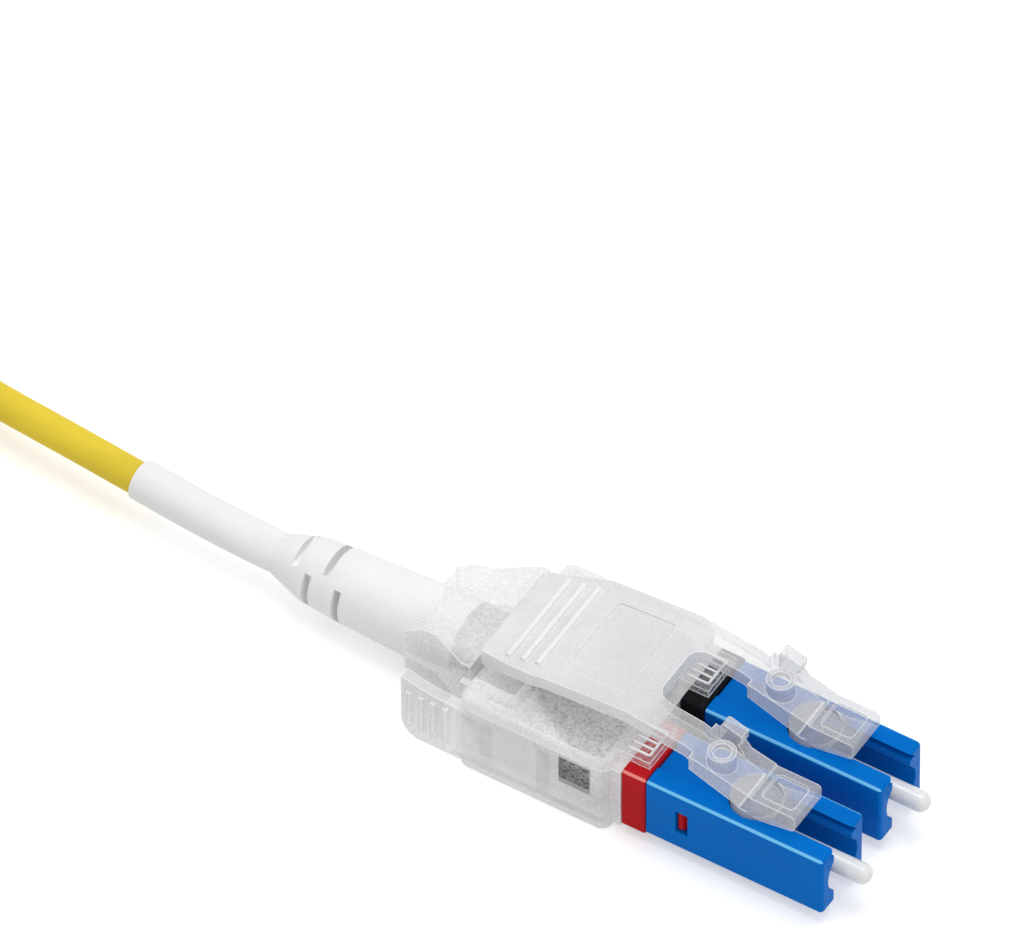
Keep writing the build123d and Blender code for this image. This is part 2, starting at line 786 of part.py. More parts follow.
# Boot: a soft sleeve from the housing's neck along the cable, with slits and a thin tail
cable_radius = cable_diameter / 2
lean = math.tan(math.radians(tail_angle))
cable_start = (spigot_rear - running_gap * 2, 0, axis_height)
bend = (boot_rear + boot_bend, 0, axis_height)
bend_end = (boot_rear - boot_bend / 2, boot_bend * 1.5 * lean, axis_height)
bend_radius = 0.45 * math.dist(bend, bend_end) / math.tan(math.radians(tail_angle / 2))
boot_profile = (
    (boot_front, 0),
    (boot_front, boot_diameter / 2 - running_gap / 2),
    (boot_front - waist_start / 5, boot_diameter / 2 - running_gap / 2 + boot_crown),
    (boot_front - waist_start, boot_waist / 2 + boot_crown),
    (boot_front - waist_end, boot_waist / 2 - waist_taper),
    (boot_front - taper_end, boot_neck / 2 + taper_step),
    (boot_front - taper_end, 0),
)
with BuildPart() as boot:
    with BuildSketch(Plane(origin=(0, 0, axis_height), x_dir=(1, 0, 0), z_dir=(0, -1, 0))):
        with BuildLine():
            Polyline(*boot_profile, close=True)
        make_face()
    revolve(axis=Axis((0, 0, axis_height), (1, 0, 0)))
    with BuildLine() as tail_route:
        FilletPolyline(
            cable_start,
            bend,
            (boot_rear, boot_bend * lean, axis_height),
            radius=bend_radius,
        )
    with BuildSketch(Plane(origin=tail_route.line @ 0, z_dir=tail_route.line % 0)):
        Circle(boot_neck / 2)
    sweep(path=tail_route.line)
    # Slits that let the boot bend, in turn at the sides and at the top and bottom
    for slit, turn in enumerate((0, 1, 0, 1)):
        slit_x = boot_front - waist_start + slit_pitch * (0.5 - slit)
        for flank in (-1, 1):
            reach = cable_radius + slit_core + boot_diameter / 2
            across = flank * reach
            with Locations(
                (
                    slit_x,
                    0 if turn else across,
                    axis_height + (across if turn else 0),
                )
            ):
                Box(
                    slit_width,
                    slit_span if turn else boot_diameter,
                    boot_diameter if turn else slit_span,
                    mode=Mode.SUBTRACT,
                )
    # Bores for the crimp ring and the cable
    with BuildSketch(section(boot_front)):
        with Locations((0, axis_height)):
            Circle(crimp_outer / 2 + bore_gap)
    extrude(amount=spigot_rear - 4 * running_gap - boot_front, mode=Mode.SUBTRACT)
    with BuildLine() as bore_route:
        FilletPolyline(cable_start, bend, bend_end, radius=bend_radius)
    with BuildSketch(Plane(origin=bore_route.line @ 0, z_dir=bore_route.line % 0)):
        Circle(cable_radius + bore_gap / 2)
    sweep(path=bore_route.line, mode=Mode.SUBTRACT)
finish(boot, "boot")


# Hank that the spare cord is wound into: two turns side by side in each layer
hank_outer = hank_inner + cable_diameter
hank_radius = hank_outer + cable_radius
hank_hole = hank_inner - cable_radius
hank_near = hank_front - hank_radius
hank_middle = hank_near - hank_straight / 2
hank_far = hank_near - hank_straight
hank_bottom = tie_thickness
hank_height = hank_layers * cable_diameter
with BuildPart() as cable_hank:
    with BuildSketch(Plane.XY.offset(hank_bottom)):
        with Locations((hank_middle, 0)):
            SlotCenterToCenter(hank_straight, 2 * hank_radius)
            SlotCenterToCenter(hank_straight, 2 * hank_hole, mode=Mode.SUBTRACT)
    extrude(amount=hank_height)
finish(cable_hank, "cable_hank")

# Strap round the middle of the hank
with BuildPart() as hank_tie:
    with BuildSketch(section(hank_middle - tie_width / 2)):
        with Locations((0, hank_bottom + hank_height / 2)):
            RectangleRounded(
                2 * hank_radius + 2 * tie_thickness, hank_height + 2 * tie_thickness, tie_rounding
            )
            Rectangle(
                2 * hank_radius + bore_gap / 2, hank_height + bore_gap / 2,
                mode=Mode.SUBTRACT,
            )
    extrude(amount=tie_width)
finish(hank_tie, "hank_tie")

# Routes of the two stretches that aren't wound, as points chosen by hand, and the far connector's
# place: the same pieces turned round, without the springs
far_x = hank_far - hank_radius - far_gap + boot_rear
FAR_END = Location((far_x, 0, 0), (0, 0, 180))
lead_points = (
    cable_start,
    bend,
    bend_end,
    (-42.6, 1.95, 2.4),
    (-48.5, 4.3, 1.6),
    (-54.0, 6.7, 1.4),
    (-60.0, 7.0, 1.4),
)
end_points = (
    (-84.0, 6.98, 7.38),
    (-89.8, 6.9, 7.38),
    (-94.8, 5.3, 6.7),
    (-99.2, 2.1, 4.7),
    (far_x - bend_end[0], -bend_end[1], axis_height),
    (far_x - bend[0], 0, axis_height),
    (far_x - cable_start[0], 0, axis_height),
)


def make_cable(points, name):
    """Sweep the cable along straight runs joined by the largest arcs that they leave room for."""
    runs = [Vector(end) - Vector(start) for start, end in zip(points, points[1:])]
    radii = []
    for before, after in zip(runs, runs[1:]):
        half_turn = math.radians(before.get_angle(after) / 2)
        radii.append(0.45 * min(before.length, after.length) / math.tan(half_turn))
    with BuildPart() as cable:
        with BuildLine() as route:
            FilletPolyline(*points, radius=radii)
        path = route.wires()[0]
        with BuildSketch(Plane(origin=path @ 0, z_dir=path % 0)):
            Circle(cable_radius)
        sweep(path=path)
    expected = math.pi * cable_radius**2 * path.length
    print(name, "radii", [round(r, 1) for r in radii], "length", round(path.length, 1))
    print(name, "volume", round(cable.part.volume, 2), "expected", round(expected, 2))
    with BuildPart() as trimmed:
        add(cable.part)
        add(cable_hank.part, mode=Mode.SUBTRACT)
    return trimmed


cable_lead = make_cable(lead_points, "cable_lead")
finish(cable_lead, "cable_lead")
cable_end = make_cable(end_points, "cable_end")
finish(cable_end, "cable_end")

for name, near_piece in CONNECTOR:
    if not name.startswith("spring"):
        with BuildPart() as copy:
            add(near_piece.moved(FAR_END))
        finish(copy, f"far_{name}")
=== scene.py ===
import json
import math

import bmesh
import bpy
from bpy.props import FloatProperty, FloatVectorProperty, IntProperty, PointerProperty
from bpy.types import Operator, Panel, PropertyGroup
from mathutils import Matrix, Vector


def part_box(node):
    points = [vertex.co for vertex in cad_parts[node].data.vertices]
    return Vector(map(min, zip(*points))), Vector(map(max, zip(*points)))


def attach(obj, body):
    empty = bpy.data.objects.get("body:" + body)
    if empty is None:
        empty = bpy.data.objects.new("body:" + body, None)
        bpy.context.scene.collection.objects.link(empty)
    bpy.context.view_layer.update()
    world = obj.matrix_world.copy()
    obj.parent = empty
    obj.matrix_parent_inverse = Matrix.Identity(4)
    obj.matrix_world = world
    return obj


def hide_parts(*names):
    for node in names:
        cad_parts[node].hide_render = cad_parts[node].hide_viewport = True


bl_info = {
    "name": "Duplex Fibre Connector",
    "version": (1, 0, 0),
    "blender": (4, 5, 0),
    "location": "3D View > Sidebar > Connector",
    "description": "Dresses a duplex fibre connector and its thin cord for rendering",
    "category": "Object",
}

# Connector in metres, with X towards the mating end, Y across the two plugs and Z up
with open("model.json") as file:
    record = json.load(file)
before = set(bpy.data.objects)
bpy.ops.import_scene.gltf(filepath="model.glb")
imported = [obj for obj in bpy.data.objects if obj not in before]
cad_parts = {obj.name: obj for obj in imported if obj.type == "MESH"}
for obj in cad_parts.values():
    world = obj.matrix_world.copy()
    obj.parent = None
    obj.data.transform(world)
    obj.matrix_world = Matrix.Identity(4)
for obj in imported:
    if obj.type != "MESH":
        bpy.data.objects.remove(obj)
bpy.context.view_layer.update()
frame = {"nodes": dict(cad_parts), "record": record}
MM = 0.001

SIDES = ("", "far_")
ENDS = ("a", "b")
FERRULE_LOW, FERRULE_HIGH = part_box("ferrule_a")
OTHER_LOW, OTHER_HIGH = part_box("ferrule_b")
# Near and far connector's ends added up, so that half of it is the middle between them
FAR_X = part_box("far_ferrule_a")[0].x + FERRULE_HIGH.x
# Height of the plugs' axes, and their distance from the middle
AXIS_Z = (FERRULE_LOW.z + FERRULE_HIGH.z) / 2
PLUG_Y = (OTHER_LOW.y + OTHER_HIGH.y) / 2
# Middle of the tabs over the collars, and their top
TAB_X = 5.95 * MM
TAB_TOP = 5.8 * MM
# How far the block inside falls back, for each unit away from the middle
YOKE_SLANT = 1.57
# Stretch of the plugs and collars whose top edges carry a painted highlight, in millimetres
PAINTED_HIGHLIGHT_STRETCH = (5.0, 19.0)

# Lumps to a metre in the noise of each finish
FLOW_LUMPS = 420
GLOSS_LUMPS = 1500
GRAIN_LUMPS = 6000
RUBBER_LUMPS = 7000
JACKET_LUMPS = 2600
WEAVE_LUMPS = 3200
METAL_LUMPS = 6000
SPECKLE_LUMPS = 5200
MIST_LUMPS = 260
CLOUD_LUMPS = 420
SHEEN_LUMPS = 1800
FROST_LUMPS = 5600
RIPPLE_LUMPS = 2600
# Range that a noise value mostly keeps to
NOISE_RANGE = (0.3, 0.7)
# How deep each finish is raised by its noise
GRAIN_DEPTH = 0.0005 * MM
RUBBER_DEPTH = 0.006 * MM
JACKET_DEPTH = 0.008 * MM
WEAVE_DEPTH = 0.05 * MM
METAL_DEPTH = 0.002 * MM
RIPPLE_DEPTH = 0.0008 * MM
# Specular levels
PLASTIC_GLOSS = 0.03
CERAMIC_GLOSS = 0.6
CLEAR_GLOSS = 0.5
ROUGHNESS = {
    "blue": 0.3, "red": 0.3, "black": 0.38, "ceramic": 0.12, "nickel": 0.25, "spring": 0.3,
    "buffer": 0.35, "yoke": 0.45, "ring": 0.3, "boot": 0.45, "jacket": 0.42, "strap": 0.85,
    "roof": 0.22, "wall": 0.24, "cover": 0.24, "marks": 0.2, "floor": 0.9,
}
# Likeness of a face's normal to the rounded one where an edge's painted highlight begins and where
# it is full
EDGE_LIKENESS = (0.99, 0.86)
EDGE_SAMPLES = 6
# How solid the clear plastic's painted white edge highlight is, and what share of its shadow it
# doesn't cast
EDGE_HAZE = 0.85
SHADOW_LOSS = 0.65
# Stops of haze along the clear pieces: place in millimetres and amount
ROOF_HAZE = ((-12, 0.55), (-7.4, 0.6), (-6.4, 0.34), (8, 0.34))
WALL_HAZE = ((-12, 0.6), (-4, 0.62), (6, 0.62))
COVER_HAZE = ((-5, 0.92), (-1, 0.85), (4.5, 0.62), (7, 0.4), (16, 0.4))
MARK_HAZE = ((-12, 0.95), (16, 0.95))
# How much the fine grain changes the haze
ROOF_FROST = 0.09
WALL_FROST = 0.04
COVER_FROST = 0.04
# Painted shade: the cover is a darker copy of the clear plastic, which holds it below white under
# the sky
COVER_PAINTED_SHADE = 0.86
# Widths of the soft borders of such places, in millimetres
NARROW = 0.08
SOFT = 0.2
# Places in the clear pieces that differ from the rest: a box in millimetres, its haze, its tone
# and the width of its soft border. First the near wall, with its window last
WALL_PANELS = (
    ((-9.0, -6.5, 0.0), (-5.6, -4.9, 6.0), 0.55, 0.84, NARROW),
    ((-5.0, -6.5, 0.5), (-2.5, -4.5, 4.6), 0.5, 0.93, SOFT),
    ((0.2, -6.5, 0.8), (1.3, -4.5, 4.6), 0.5, 0.93, SOFT),
    ((-5.4, -6.5, 0.6), (4.8, -5.0, 1.25), 0.5, 0.74, 0.25),
    ((1.74, -6.5, 2.6), (3.87, -5.6, 4.75), 0.12, 1.0, NARROW),
    ((1.25, -5.5, 1.9), (3.4, -4.6, 4.0), 0.03, 1.0, NARROW),
)
# The neck, and the tabs over the collars
ROOF_PANELS = (
    ((-11.0, -5.0, 2.0), (-5.0, 5.0, 7.0), 0.5, 1.0, NARROW),
    ((4.95, -5.0, 5.0), (7.5, 5.0, 6.0), 0.12, 1.0, NARROW),
)
# The two arms, their round feet and the three ribs of the press plate
COVER_PANELS = (
    ((6.0, -6.0, 3.0), (17.0, 6.0, 9.0), 0.38, 0.84, 1.2),
    ((11.4, -4.7, 4.6), (14.6, -1.5, 5.5), 0.6, 0.66, NARROW),
    ((11.4, 1.5, 4.6), (14.6, 4.7, 5.5), 0.6, 0.66, NARROW),
) + tuple(
    ((x - 0.17, -3.4, 6.0), (x + 0.17, 3.4, 9.0), 1.0, 1.1, NARROW) for x in (-3.2, -2.225, -1.25)
)

# Control points of the cord in millimetres, from the near boot to the hank and from the hank on
LEAD_ROUTE = (
    (-24.2, 0, 2.9), (-33.5, 0.8955, 2.9), (-42.6, 1.95, 2.4), (-48.5, 4.3, 1.6), (-54.0, 6.7, 1.4)
)
TAIL_ROUTE = ((-89.8, 6.9, 7.38), (-94.8, 5.3, 6.7), (-99.2, 2.1, 4.7))
# Layers of the hank, with two turns in each
LAYERS = 4
# Places of the control points on each straight run of a turn
RUN_SHARES = (0.2, 0.5, 0.8)

# Edges meeting at more than this are hard, and faces nearer than this to flat are one
HARD_ANGLE = math.radians(28)
FLAT_ANGLE = math.radians(0.6)
MERGE_GAP = 0.001 * MM

# Half the floor's width, and how far it lies below the lowest piece
FLOOR_HALF = 1.5
FLOOR_DROP = 0.02 * MM
# Where the camera looks
TARGET = Vector((-12.36, 11.97, 2.9)) * MM
# Each lamp's name, place, size and share of the main light's power
LAMPS = (
    ("key light", (-0.02, 0.06, 0.50), 0.35, 1.0),
    ("side light", (0.32, -0.12, 0.22), 0.22, 0.15),
    ("back light", (-0.05, 0.38, 0.25), 0.25, 0.12),
)
BODY_OF = {
    node: body
    for body, nodes in frame["record"]["behaviour"]["bodies"].items()
    for node in nodes
}


class ConnectorSizes(PropertyGroup):
    """Sizes of what is added to the moulded parts."""

    edge_round: FloatProperty(
        name="Edge rounding",
        description="Radius that a mould leaves on outer edges",
        default=0.06 * MM,
        unit="LENGTH",
    )
    # Width of the painted white highlight along the edges of the clear plastic
    clear_painted_highlight_width: FloatProperty(
        name="Clear edge",
        description="Width of the bright edges of the clear plastic",
        default=0.16 * MM,
        unit="LENGTH",
    )
    # Width of the painted highlight along the edges of the coloured plastic
    painted_highlight_width: FloatProperty(
        name="Bright edge",
        description="Width of the lighter edges of the coloured plastic",
        default=0.09 * MM,
        unit="LENGTH",
    )
    mark_height: FloatProperty(
        name="Mark height",
        description="How far the raised strips stand on the tabs over the collars",
        default=0.05 * MM,
        unit="LENGTH",
    )
    mark_length: FloatProperty(
        name="Mark length", description="The marks' size along the tabs", default=1.4 * MM,
        unit="LENGTH",
    )
    mark_width: FloatProperty(
        name="Mark width", description="The marks' size across the tabs", default=2.1 * MM,
        unit="LENGTH",
    )
    mark_strip: FloatProperty(
        name="Strip width", description="Width of each raised strip", default=0.14 * MM,
        unit="LENGTH",
    )
    mark_round: FloatProperty(
        name="Strip rounding", description="Radius of the strips' edges", default=0.02 * MM,
        unit="LENGTH",
    )
    mark_teeth: IntProperty(
        name="Strips", description="Strips that run along each tab", default=5, min=2
    )
    cable_diameter: FloatProperty(
        name="Cable diameter",
        description="Outer diameter of the cable's jacket",
        default=2.0 * MM,
        unit="LENGTH",
    )
    cord_length: FloatProperty(
        name="Cord length",
        description="Length of the whole cord from boot to boot",
        default=0.875,
        unit="LENGTH",
    )
    turn_points: IntProperty(
        name="Points in a half turn",
        description="Control points that each half turn of the hank is drawn with",
        default=6,
        min=4,
    )


class ConnectorColours(PropertyGroup):
    """Colours of the pieces, of the painted highlights on their edges, and of the floor."""

    plug: FloatVectorProperty(
        name="Plugs", description="Blue plug shells", subtype="COLOR", default=(0.0, 0.17, 0.63)
    )
    red: FloatVectorProperty(
        name="Red body", description="Collar of the first plug", subtype="COLOR",
        default=(0.54, 0.012, 0.018),
    )
    black: FloatVectorProperty(
        name="Black body", description="Collar of the second plug", subtype="COLOR",
        default=(0.012, 0.012, 0.014),
    )
    # The three edge colours below are painted highlights: lighter lines along the edges of the plugs
    # and collars that stand for the light they catch
    blue_painted_highlight: FloatVectorProperty(
        name="Plug edges", description="Light line along the plugs", subtype="COLOR",
        default=(0.2, 0.62, 1.0),
    )
    red_painted_highlight: FloatVectorProperty(
        name="Red edges", description="Light line along the first collar", subtype="COLOR",
        default=(0.95, 0.3, 0.26),
    )
    black_painted_highlight: FloatVectorProperty(
        name="Black edges", description="Light line along the second collar", subtype="COLOR",
        default=(0.08, 0.08, 0.085),
    )
    ceramic: FloatVectorProperty(
        name="Ceramic", description="White ferrules", subtype="COLOR",
        default=(0.88, 0.89, 0.88),
    )
    nickel: FloatVectorProperty(
        name="Nickel", description="Holders of the ferrules", subtype="COLOR",
        default=(0.72, 0.71, 0.69),
    )
    spring: FloatVectorProperty(
        name="Spring", description="Steel of the springs", subtype="COLOR",
        default=(0.55, 0.55, 0.57),
    )
    buffer: FloatVectorProperty(
        name="Buffer", description="Coating of the fibres", subtype="COLOR",
        default=(0.85, 0.85, 0.8),
    )
    clear: FloatVectorProperty(
        name="Clear plastic", description="Frosted clear housing", subtype="COLOR",
        default=(0.98, 0.985, 0.99),
    )
    marks: FloatVectorProperty(
        name="Raised marks", description="Strips on the tabs", subtype="COLOR",
        default=(1.0, 1.0, 1.0),
    )
    yoke: FloatVectorProperty(
        name="Yoke", description="Block inside the housing", subtype="COLOR",
        default=(0.02, 0.02, 0.022),
    )
    speckle: FloatVectorProperty(
        name="Speckle", description="Light grains on the block inside", subtype="COLOR",
        default=(0.42, 0.42, 0.44),
    )
    ring: FloatVectorProperty(
        name="Crimp ring", description="Drawn metal ring", subtype="COLOR",
        default=(0.66, 0.66, 0.68),
    )
    boot: FloatVectorProperty(
        name="Boot", description="White rubber", subtype="COLOR",
        default=(0.99, 0.99, 0.99),
    )
    jacket: FloatVectorProperty(
        name="Jacket", description="Yellow cable jacket", subtype="COLOR",
        default=(0.86, 0.66, 0.06),
    )
    strap: FloatVectorProperty(
        name="Strap", description="Woven strap round the hank", subtype="COLOR",
        default=(0.02, 0.02, 0.022),
    )
    floor: FloatVectorProperty(
        name="Floor", description="Pale floor", subtype="COLOR",
        default=(0.84, 0.84, 0.84),
    )


class ConnectorStage(PropertyGroup):
    """Where the camera stands and how bright the stage is."""

    azimuth: FloatProperty(
        name="Azimuth", description="Camera's turn round the connector", subtype="ANGLE",
        default=math.radians(31.7),
    )
    elevation: FloatProperty(
        name="Elevation", description="Camera's height above the floor", subtype="ANGLE",
        default=math.radians(48.5),
    )
    distance: FloatProperty(
        name="Distance", description="From the camera to the middle of the picture",
        default=2.0, unit="LENGTH",
    )
    lens: FloatProperty(
        name="Lens", description="Focal length in millimetres", default=1251.6
    )
    floor_glow: FloatProperty(
        name="Floor glow", description="What brings the lit floor up to white", default=0.45
    )
    sky: FloatProperty(
        name="Sky", description="Strength of the even light from all round", default=0.65
    )
    key: FloatProperty(
        name="Key light", description="Power of the main soft light", default=1.04, unit="POWER"
    )


def sizes():
    return bpy.context.scene.connector_sizes


def colours():
    return bpy.context.scene.connector_colours


# Materials
def new_finish(name, colour, roughness, alpha=1.0):
    """A moulded surface: returns the material, its nodes and its shader."""
    material = bpy.data.materials.new(name)
    material.use_nodes = True
    tree = material.node_tree
    shader = tree.nodes["Principled BSDF"]
    shader.inputs["Base Color"].default_value = (*colour, 1)
    shader.inputs["Roughness"].default_value = roughness
    shader.inputs["Alpha"].default_value = alpha
    material.diffuse_color = (*colour, alpha)
    return material, tree, shader


def set_finish(piece, material):
    piece.data.materials.clear()
    piece.data.materials.append(material)


def shade(colour, factor):
    return tuple(min(1.0, c * factor) for c in colour)


def calculate(tree, operation, *values):
    """A Math node with its inputs taken from sockets or numbers."""
    node = tree.nodes.new("ShaderNodeMath")
    node.operation = operation
    for socket, value in zip(node.inputs, values):
        if isinstance(value, (int, float)):
            socket.default_value = value
        else:
            tree.links.new(value, socket)
    return node.outputs[0]


def place_of(tree):
    """Object coordinates, which are the connector's own metres."""
    node = tree.nodes.get("Place") or tree.nodes.new("ShaderNodeTexCoord")
    node.name = "Place"
    return node.outputs["Object"]


def near_place(tree):
    """Object coordinates in which the far connector has the near one's places."""
    split = tree.nodes.new("ShaderNodeSeparateXYZ")
    tree.links.new(place_of(tree), split.inputs[0])
    middle = FAR_X / 2
    from_middle = calculate(tree, "SUBTRACT", split.outputs["X"], middle)
    along = calculate(tree, "ADD", calculate(tree, "ABSOLUTE", from_middle), middle)
    side = calculate(tree, "SIGN", from_middle)
    across = calculate(tree, "MULTIPLY", split.outputs["Y"], side)
    return along, across, split.outputs["Z"]


def in_box(tree, places, low, high, border):
    """One inside a box given in millimetres and nothing outside it, with a soft border."""
    inside = 1.0
    for place, start, end in zip(places, low, high):
        for edge, inner in ((start * MM, border), (end * MM, -border)):
            ramp = tree.nodes.new("ShaderNodeMapRange")
            ramp.inputs["From Min"].default_value = edge
            ramp.inputs["From Max"].default_value = edge + inner
            tree.links.new(place, ramp.inputs["Value"])
            inside = calculate(tree, "MULTIPLY", ramp.outputs["Result"], inside)
    return inside


def noise(tree, scale, detail=2.0, stretch=(1, 1, 1)):
    """A noise value over the piece, with scale counted in lumps to a metre."""
    mapping = tree.nodes.new("ShaderNodeMapping")
    mapping.inputs["Scale"].default_value = stretch
    tree.links.new(place_of(tree), mapping.inputs["Vector"])
    texture = tree.nodes.new("ShaderNodeTexNoise")
    texture.inputs["Scale"].default_value = scale
    texture.inputs["Detail"].default_value = detail
    tree.links.new(mapping.outputs["Vector"], texture.inputs["Vector"])
    return texture.outputs["Fac"]


def spread(tree, value, low, high):
    """Maps a noise value to the range from low to high."""
    node = tree.nodes.new("ShaderNodeMapRange")
    node.inputs["From Min"].default_value, node.inputs["From Max"].default_value = NOISE_RANGE
    node.inputs["To Min"].default_value = low
    node.inputs["To Max"].default_value = high
    tree.links.new(value, node.inputs["Value"])
    return node.outputs["Result"]


def blended(tree, kind, share, value, constant):
    """A value or a colour that gives way to a constant where the share is one."""
    mix = tree.nodes.new("ShaderNodeMix")
    mix.data_type = kind
    before, after = [socket for socket in mix.inputs if socket.enabled][-2:]
    tree.links.new(share, mix.inputs["Factor"])
    tree.links.new(value, before)
    after.default_value = constant
    return next(socket for socket in mix.outputs if socket.enabled)


def ramp_along(tree, value, stops):
    """A value that follows another through stops of place in millimetres and amount."""
    first, last = stops[0][0] * MM, stops[-1][0] * MM
    share = tree.nodes.new("ShaderNodeMapRange")
    share.inputs["From Min"].default_value = first
    share.inputs["From Max"].default_value = last
    tree.links.new(value, share.inputs["Value"])
    ramp = tree.nodes.new("ShaderNodeValToRGB")
    ramp.color_ramp.interpolation = "EASE"
    for place, amount in stops[1:-1]:
        ramp.color_ramp.elements.new((place * MM - first) / (last - first))
    for element, (place, amount) in zip(ramp.color_ramp.elements, stops):
        element.color = (amount, amount, amount, 1)
    tree.links.new(share.outputs["Result"], ramp.inputs["Fac"])
    return ramp.outputs["Color"]


def tint(tree, shader, value, low, high):
    """Blends the base colour between two colours by a noise value, and returns the blend."""
    mix = tree.nodes.new("ShaderNodeMix")
    mix.data_type = "RGBA"
    mix.inputs["A"].default_value = (*low, 1)
    mix.inputs["B"].default_value = (*high, 1)
    tree.links.new(spread(tree, value, 0, 1), mix.inputs["Factor"])
    tree.links.new(mix.outputs["Result"], shader.inputs["Base Color"])
    return mix.outputs["Result"]


def bump(tree, shader, value, depth):
    """Raises the surface by a value, up to depth in metres."""
    node = tree.nodes.new("ShaderNodeBump")
    node.inputs["Strength"].default_value = 1.0
    node.inputs["Distance"].default_value = depth
    tree.links.new(value, node.inputs["Height"])
    tree.links.new(node.outputs["Normal"], shader.inputs["Normal"])


def edge_highlight_share(tree, width):
    """One along a piece's hard edges, within a width in metres, and nothing on its faces: the mask
    of the painted edge highlights.
    """
    rounded = tree.nodes.new("ShaderNodeBevel")
    rounded.samples = EDGE_SAMPLES
    rounded.inputs["Radius"].default_value = width
    surface = tree.nodes.new("ShaderNodeNewGeometry")
    likeness = tree.nodes.new("ShaderNodeVectorMath")
    likeness.operation = "DOT_PRODUCT"
    tree.links.new(rounded.outputs["Normal"], likeness.inputs[0])
    tree.links.new(surface.outputs["Normal"], likeness.inputs[1])
    share = tree.nodes.new("ShaderNodeMapRange")
    share.inputs["From Min"].default_value, share.inputs["From Max"].default_value = EDGE_LIKENESS
    tree.links.new(likeness.outputs["Value"], share.inputs["Value"])
    return share.outputs["Result"]


def top_edge_highlight(tree, size):
    """One along the rounded top edges of both plugs, whose square ends are size across: the mask of
    their painted highlight.
    """
    along, across, height = near_place(tree)
    off_middle = calculate(tree, "ABSOLUTE", across)
    off_middle = calculate(tree, "SUBTRACT", off_middle, PLUG_Y)
    off_middle = calculate(tree, "ABSOLUTE", off_middle)
    reach = size / MM / 2
    start = reach - sizes().painted_highlight_width / MM * 2
    past, border = 0.2, 0.03
    low = (PAINTED_HIGHLIGHT_STRETCH[0], start, start + AXIS_Z / MM)
    high = (PAINTED_HIGHLIGHT_STRETCH[1], reach + past, reach + AXIS_Z / MM + past)
    return in_box(tree, (along, off_middle, height), low, high, border * MM)


def moulded_finish(
    name, colour, roughness, grain=GRAIN_DEPTH, grain_scale=GRAIN_LUMPS, edge=None,
    gloss_level=PLASTIC_GLOSS, size=None,
):
    """Opaque moulded plastic: faint flow lines, uneven gloss, a fine grain, and, with an edge
    colour, a painted highlight along its edges. With a size, those are the top edges of plugs that
    are that size across."""
    material, tree, shader = new_finish(name, colour, roughness)
    shader.inputs["Specular IOR Level"].default_value = gloss_level
    flow = noise(tree, FLOW_LUMPS, 3, (0.35, 1, 1))
    tone = tint(tree, shader, flow, shade(colour, 0.93), shade(colour, 1.06))
    # Painted highlight: the edge colour is painted along the edges
    if edge:
        share = top_edge_highlight(tree, size) if size else edge_highlight_share(tree, sizes().painted_highlight_width)
        tree.links.new(
            blended(tree, "RGBA", share, tone, (*edge, 1)), shader.inputs["Base Color"]
        )
    gloss = noise(tree, GLOSS_LUMPS)
    tree.links.new(
        spread(tree, gloss, roughness - 0.05, roughness + 0.07), shader.inputs["Roughness"]
    )
    bump(tree, shader, noise(tree, grain_scale, 3), grain)
    return material


def clear_finish(name, colour, roughness, haze, frost=0.0, panels=(), slant=0.0):
    """Frosted clear plastic. Its haze goes by stops along the connector, set back by the slant
    times the distance from the middle. Frost is a fine grain in it, panels differ from it, and its
    edges carry a painted white highlight."""
    material, tree, shader = new_finish(name, colour, roughness, haze[0][1])
    mist = noise(tree, MIST_LUMPS, 3, (0.5, 1, 1))
    tone = tint(tree, shader, mist, shade(colour, 0.97), shade(colour, 1.03))
    shader.inputs["Specular IOR Level"].default_value = CLEAR_GLOSS
    gloss = noise(tree, SHEEN_LUMPS)
    tree.links.new(
        spread(tree, gloss, roughness - 0.04, roughness + 0.06), shader.inputs["Roughness"]
    )
    places = near_place(tree)
    set_back = calculate(tree, "MULTIPLY", calculate(tree, "ABSOLUTE", places[1]), slant)
    alpha = ramp_along(tree, calculate(tree, "SUBTRACT", places[0], set_back), haze)
    for low, high, amount, shading, border in panels:
        inside = in_box(tree, places, low, high, border * MM)
        alpha = blended(tree, "FLOAT", inside, alpha, amount)
        if shading != 1.0:
            tone = blended(tree, "RGBA", inside, tone, (*shade(colour, shading), 1))
    # Painted highlight: the edges are painted white here, and further down they are made nearly
    # solid
    edges = edge_highlight_share(tree, sizes().clear_painted_highlight_width)
    tone = blended(tree, "RGBA", edges, tone, (1.0, 1.0, 1.0, 1.0))
    tree.links.new(tone, shader.inputs["Base Color"])
    cloud = spread(tree, noise(tree, CLOUD_LUMPS, 2, (0.7, 1, 1)), 0.9, 1.12)
    alpha = calculate(tree, "MULTIPLY", alpha, cloud)
    if frost:
        grain = spread(tree, noise(tree, FROST_LUMPS, 0), -frost, frost)
        alpha = calculate(tree, "ADD", alpha, grain)
    alpha = blended(tree, "FLOAT", calculate(tree, "MULTIPLY", edges, EDGE_HAZE), alpha, 1.0)
    # More light gets through milky plastic than can be seen through it
    path = tree.nodes.new("ShaderNodeLightPath")
    held = calculate(tree, "MULTIPLY", path.outputs["Is Shadow Ray"], SHADOW_LOSS)
    held = calculate(tree, "SUBTRACT", 1.0, held)
    tree.links.new(calculate(tree, "MULTIPLY", alpha, held), shader.inputs["Alpha"])
    bump(tree, shader, noise(tree, RIPPLE_LUMPS), RIPPLE_DEPTH)
    return material


def metal_finish(name, colour, roughness, stretch):
    """Drawn or turned metal with fine lines."""
    material, tree, shader = new_finish(name, colour, roughness)
    shader.inputs["Metallic"].default_value = 1.0
    lines = noise(tree, METAL_LUMPS, stretch=stretch)
    tree.links.new(
        spread(tree, lines, roughness - 0.06, roughness + 0.1), shader.inputs["Roughness"]
    )
    bump(tree, shader, lines, METAL_DEPTH)
    return material


